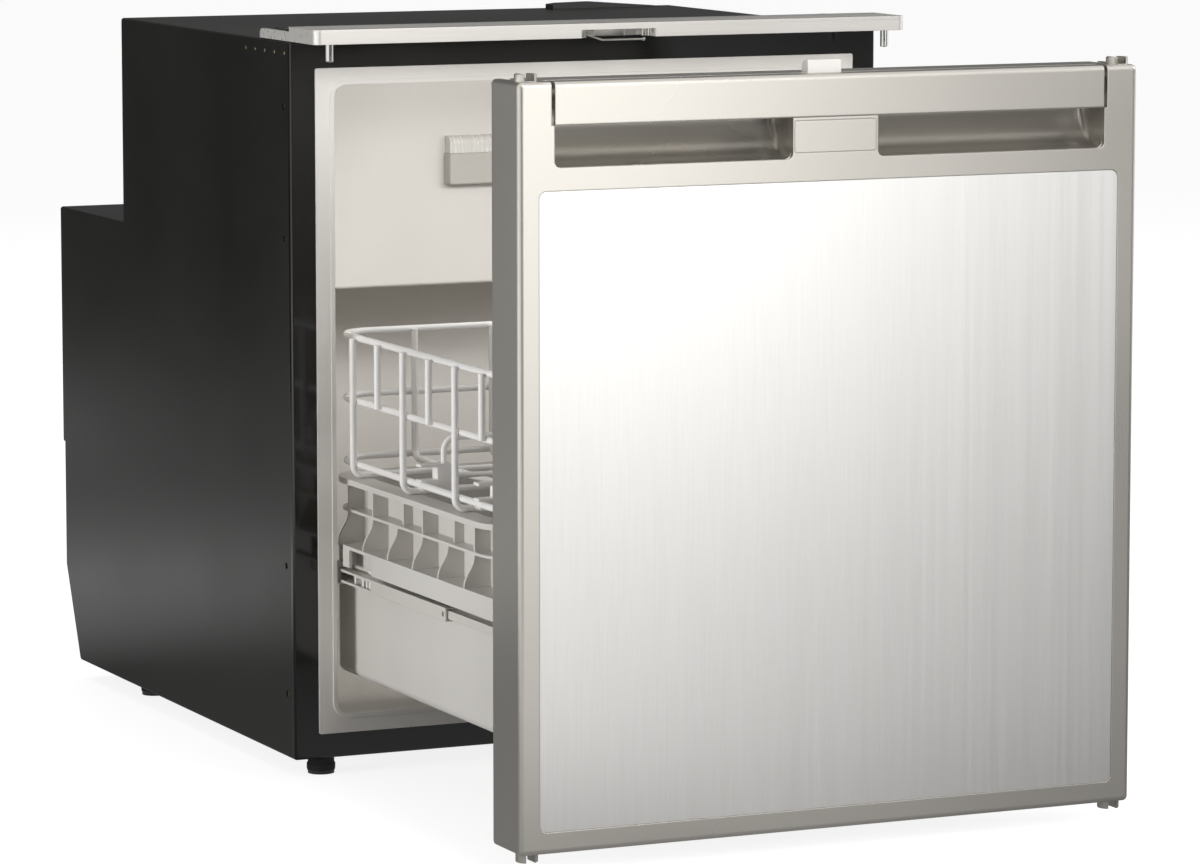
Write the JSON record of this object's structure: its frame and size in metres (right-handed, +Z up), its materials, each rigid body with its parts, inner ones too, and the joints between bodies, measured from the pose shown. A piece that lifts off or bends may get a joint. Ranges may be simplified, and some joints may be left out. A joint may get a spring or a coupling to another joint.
{
  "type": "drawer fridge",
  "caption": "Built-in compressor fridge with a foamed cabinet and a pull-out drawer front that carries a ribbed tub and a wire basket on telescopic runners.",
  "frame": {"origin": "middle of the footprint of the whole object with the drawer out as pictured, on the floor under the feet", "axes": "+X to the right of someone who stands before the drawer, +Y from the drawer to the machine room, +Z up"},
  "size_m": [0.448, 0.868, 0.52],
  "materials": {
    "black_sheet": "satin",
    "black_gloss": "gloss",
    "liner_white": "gloss",
    "foam": "matte",
    "zinc_sheet": "satin",
    "black_rubber": "matte",
    "black_plastic": "matte",
    "bar_aluminium": "satin",
    "black_steel": "satin",
    "bright_chrome": "polished",
    "lever_steel": "satin",
    "evaporator_aluminium": "satin",
    "grey_plastic": "matte",
    "lens_clear": "gloss",
    "runner_coat": "satin",
    "clip_white": "matte",
    "silver_plastic": "satin",
    "brushed_panel": "brushed",
    "gasket_grey": "matte",
    "tub_grey": "satin",
    "basket_wire": "gloss",
    "machine_black": "gloss",
    "condenser_aluminium": "satin",
    "copper": "satin"
  },
  "bodies": {
    "cabinet": {"front_casing": "black_sheet", "rear_casing": "black_sheet", "front_border": "black_gloss", "liner": "liner_white", "insulation_foam": "foam", "machine_wall": "zinc_sheet", "feet": "black_rubber", "top_wedge": "black_plastic", "top_bar": "bar_aluminium", "bar_arms": "bar_aluminium", "bar_foot_plates": "black_plastic", "bar_screws": "black_steel", "bar_pins": "bright_chrome", "striker": "bright_chrome", "catch_pins": "bright_chrome", "evaporator_cover": "liner_white", "evaporator": "evaporator_aluminium", "control_housing": "grey_plastic", "lamp_lens": "lens_clear", "runner_outer_right": "runner_coat", "runner_outer_left": "runner_coat", "compressor": "machine_black", "compressor_bracket": "zinc_sheet", "compressor_grommets": "black_rubber", "condenser": "condenser_aluminium", "fan_frame": "black_plastic", "electronics_module": "black_plastic", "filter_drier": "copper", "refrigerant_pipes": "copper", "rear_cover": "black_sheet", "rear_grille": "black_plastic", "rear_cover_screws": "black_steel", "cable_grommet": "black_rubber"},
    "drawer": {"runner_inner_right": "runner_coat", "runner_inner_left": "runner_coat", "runner_clips": "clip_white", "drawer_bezel": "silver_plastic", "front_panel": "brushed_panel", "grip_recess": "silver_plastic", "centre_plate": "silver_plastic", "handle_pins": "bright_chrome", "locator_caps_top": "silver_plastic", "locator_caps_bottom": "silver_plastic", "latch_housing": "clip_white", "latch_spring": "bright_chrome", "front_foam": "foam", "drawer_inner_liner": "liner_white", "gasket": "gasket_grey", "drawer_tub": "tub_grey", "basket": "basket_wire"},
    "handle": {"handle_band": "silver_plastic"},
    "bolt": {"latch_bolt": "clip_white"},
    "middle_right": {"runner_middle_right": "runner_coat"},
    "middle_left": {"runner_middle_left": "runner_coat"},
    "lever": {"vent_lever": "lever_steel", "lever_knob": "bright_chrome"},
    "fan": {"fan_rotor": "black_plastic"},
    "thermostat": {"thermostat_knob": "grey_plastic"},
    "divider_back": {"divider_rear": "basket_wire"},
    "divider_fore": {"divider_front": "basket_wire"}
  },
  "joints": [
    {"name": "drawer_slide", "type": "slide", "parent": "cabinet", "child": "drawer", "axis": [0, 1, 0], "range_m": [0, 0.329]},
    {"name": "middle_slide_right", "type": "slide", "parent": "cabinet", "child": "middle_right", "axis": [0, 1, 0], "range_m": [0, 0.1822]},
    {"name": "middle_slide_left", "type": "slide", "parent": "cabinet", "child": "middle_left", "axis": [0, 1, 0], "range_m": [0, 0.1822]},
    {"name": "handle_tilt", "type": "hinge", "parent": "drawer", "child": "handle", "pos_m": [0, -0.4255, 0.4975], "axis": [-1, 0, 0], "range_deg": [0, 12], "stiffness_Nm_per_rad": 0.6, "springref_deg": -5.73},
    {"name": "bolt_slide", "type": "slide", "parent": "drawer", "child": "bolt", "axis": [0, 0, -1], "range_m": [0, 0.0046]},
    {"name": "lever_swing", "type": "hinge", "parent": "cabinet", "child": "lever", "pos_m": [-0.023, -0.095, 0.5112], "axis": [0, 0, -1], "range_deg": [0, 35]},
    {"name": "fan_spin", "type": "hinge", "parent": "cabinet", "child": "fan", "pos_m": [-0.13, 0.388, 0.243], "axis": [0, 1, 0], "continuous": true},
    {"name": "thermostat_turn", "type": "hinge", "parent": "cabinet", "child": "thermostat", "pos_m": [0.105, 0.196, 0.3968], "axis": [0, 1, 0], "range_deg": [0, 270]},
    {"name": "divider_back_slide", "type": "slide", "parent": "drawer", "child": "divider_back", "axis": [0, 1, 0], "range_m": [-0.04, 0.1]},
    {"name": "divider_fore_slide", "type": "slide", "parent": "drawer", "child": "divider_fore", "axis": [0, 1, 0], "range_m": [0, 0.04]}
  ],
  "couplings": [
    {"joint": "middle_slide_right", "follows": "drawer_slide", "ratio": 0.55319},
    {"joint": "middle_slide_left", "follows": "drawer_slide", "ratio": 0.55319},
    {"joint": "bolt_slide", "follows": "handle_tilt", "m_per_rad": 0.02149}
  ]
}
